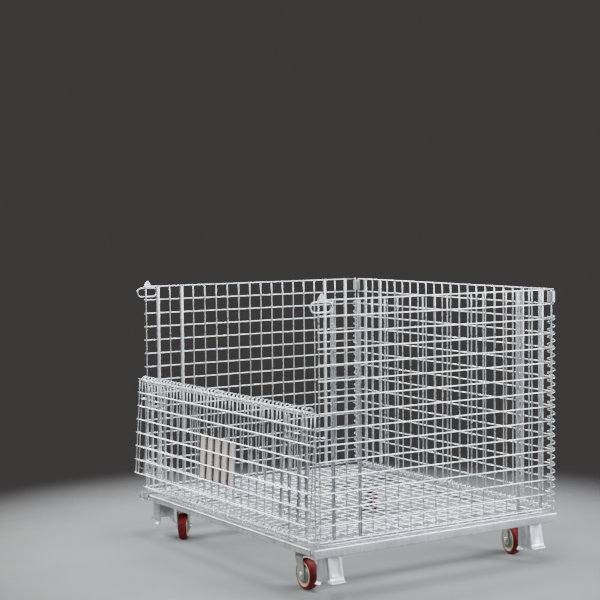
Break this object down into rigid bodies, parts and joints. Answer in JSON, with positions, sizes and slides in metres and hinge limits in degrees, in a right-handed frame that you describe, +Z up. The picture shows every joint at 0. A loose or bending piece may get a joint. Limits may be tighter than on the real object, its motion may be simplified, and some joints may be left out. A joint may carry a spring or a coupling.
{
  "type": "wire mesh container",
  "caption": "Folding wire mesh container with a drop gate in front, coil hinged panels, pressed steel feet and swivel casters.",
  "frame": {"origin": "on the floor under the middle of the container as it stands with its gate hanging open", "axes": "-Y is the gate side, +X is to the right of someone facing the gate, +Z is up"},
  "size_m": [1.221, 1.0327, 0.9503],
  "materials": {
    "zinc_wire": "bright zinc plated wire",
    "zinc_sheet": "zinc plated sheet steel",
    "label_plate": "pale blank plate",
    "red_tread": "deep red polyurethane",
    "wheel_core": "cream plastic",
    "bolt_steel": "zinc plated"
  },
  "bodies": {
    "base": {"left_side_rail": "zinc_sheet", "right_side_rail": "zinc_sheet", "front_rail": "zinc_sheet", "rear_rail": "zinc_sheet", "left_floor_bearer": "zinc_sheet", "right_floor_bearer": "zinc_sheet", "floor_mesh": "zinc_wire", "front_left_foot": "zinc_sheet", "front_right_foot": "zinc_sheet", "rear_left_foot": "zinc_sheet", "rear_right_foot": "zinc_sheet", "back_panel": "zinc_wire", "left_corner_coil": "zinc_wire", "right_corner_coil": "zinc_wire", "front_floor_coil_left": "zinc_wire", "front_floor_coil_right": "zinc_wire", "rear_floor_coil_left": "zinc_wire", "rear_floor_coil_right": "zinc_wire", "left_corner_clip": "zinc_sheet", "right_corner_clip": "zinc_sheet", "front_left_caster_plate": "zinc_sheet", "front_right_caster_plate": "zinc_sheet", "rear_left_caster_plate": "zinc_sheet", "rear_right_caster_plate": "zinc_sheet"},
    "left_side": {"left_panel": "zinc_wire", "left_gate_loop": "zinc_wire", "left_stacking_tab": "zinc_sheet"},
    "right_side": {"right_panel": "zinc_wire", "right_gate_loop": "zinc_wire", "right_stacking_tab": "zinc_sheet"},
    "lower_front": {"lower_front_panel": "zinc_wire", "gate_coil_left": "zinc_wire", "gate_coil_right": "zinc_wire"},
    "gate": {"gate_panel": "zinc_wire", "label_plate": "label_plate"},
    "left_lower_bolt": {"left_lower_latch": "zinc_wire"},
    "right_lower_bolt": {"right_lower_latch": "zinc_wire"},
    "left_gate_bolt": {"left_gate_latch": "zinc_wire"},
    "right_gate_bolt": {"right_gate_latch": "zinc_wire"},
    "front_left_swivel": {"front_left_caster_fork": "zinc_sheet", "front_left_caster_axle_bolt": "bolt_steel"},
    "front_left_wheel": {"front_left_caster_tyre": "red_tread", "front_left_caster_wheel_core": "wheel_core"},
    "front_right_swivel": {"front_right_caster_fork": "zinc_sheet", "front_right_caster_axle_bolt": "bolt_steel"},
    "front_right_wheel": {"front_right_caster_tyre": "red_tread", "front_right_caster_wheel_core": "wheel_core"},
    "rear_left_swivel": {"rear_left_caster_fork": "zinc_sheet", "rear_left_caster_axle_bolt": "bolt_steel"},
    "rear_left_wheel": {"rear_left_caster_tyre": "red_tread", "rear_left_caster_wheel_core": "wheel_core"},
    "rear_right_swivel": {"rear_right_caster_fork": "zinc_sheet", "rear_right_caster_axle_bolt": "bolt_steel"},
    "rear_right_wheel": {"rear_right_caster_tyre": "red_tread", "rear_right_caster_wheel_core": "wheel_core"}
  },
  "joints": [
    {"name": "left_side_fold", "type": "hinge", "parent": "base", "child": "left_side", "pos_m": [-0.57875, 0.49195, 0.1775], "axis": [0, 0, 1], "range_deg": [0, 90]},
    {"name": "right_side_fold", "type": "hinge", "parent": "base", "child": "right_side", "pos_m": [0.57875, 0.49195, 0.1775], "axis": [0, 0, -1], "range_deg": [0, 80]},
    {"name": "front_panel_drop", "type": "hinge", "parent": "base", "child": "lower_front", "pos_m": [0, -0.47305, 0.17625], "axis": [1, 0, 0], "range_deg": [0, 90]},
    {"name": "gate_swing", "type": "hinge", "parent": "lower_front", "child": "gate", "pos_m": [0, -0.4826, 0.5853], "axis": [-1, 0, 0], "range_deg": [0, 176]},
    {"name": "left_lower_bolt_slide", "type": "slide", "parent": "lower_front", "child": "left_lower_bolt", "axis": [1, 0, 0], "range_m": [0, 0.012]},
    {"name": "right_lower_bolt_slide", "type": "slide", "parent": "lower_front", "child": "right_lower_bolt", "axis": [-1, 0, 0], "range_m": [0, 0.012]},
    {"name": "left_gate_bolt_slide", "type": "slide", "parent": "gate", "child": "left_gate_bolt", "axis": [-1, 0, 0], "range_m": [0, 0.03]},
    {"name": "right_gate_bolt_slide", "type": "slide", "parent": "gate", "child": "right_gate_bolt", "axis": [1, 0, 0], "range_m": [0, 0.03]},
    {"name": "front_left_swivel_turn", "type": "hinge", "parent": "base", "child": "front_left_swivel", "pos_m": [-0.405, -0.4173, 0.13], "axis": [0, 0, 1], "continuous": true},
    {"name": "front_left_wheel_spin", "type": "hinge", "parent": "front_left_swivel", "child": "front_left_wheel", "pos_m": [-0.43295, -0.39624, 0.05], "axis": [-0.6018, -0.7986, 0], "continuous": true},
    {"name": "front_right_swivel_turn", "type": "hinge", "parent": "base", "child": "front_right_swivel", "pos_m": [0.405, -0.4173, 0.13], "axis": [0, 0, 1], "continuous": true},
    {"name": "front_right_wheel_spin", "type": "hinge", "parent": "front_right_swivel", "child": "front_right_wheel", "pos_m": [0.43995, -0.41913, 0.05], "axis": [0.0523, 0.9986, 0], "continuous": true},
    {"name": "rear_left_swivel_turn", "type": "hinge", "parent": "base", "child": "rear_left_swivel", "pos_m": [-0.405, 0.4427, 0.13], "axis": [0, 0, 1], "continuous": true},
    {"name": "rear_left_wheel_spin", "type": "hinge", "parent": "rear_left_swivel", "child": "rear_left_wheel", "pos_m": [-0.43923, 0.44998, 0.05], "axis": [-0.2079, -0.9781, 0], "continuous": true},
    {"name": "rear_right_swivel_turn", "type": "hinge", "parent": "base", "child": "rear_right_swivel", "pos_m": [0.405, 0.4427, 0.13], "axis": [0, 0, 1], "continuous": true},
    {"name": "rear_right_wheel_spin", "type": "hinge", "parent": "rear_right_swivel", "child": "rear_right_wheel", "pos_m": [0.4391, 0.43483, 0.05], "axis": [0.225, 0.9744, 0], "continuous": true}
  ]
}
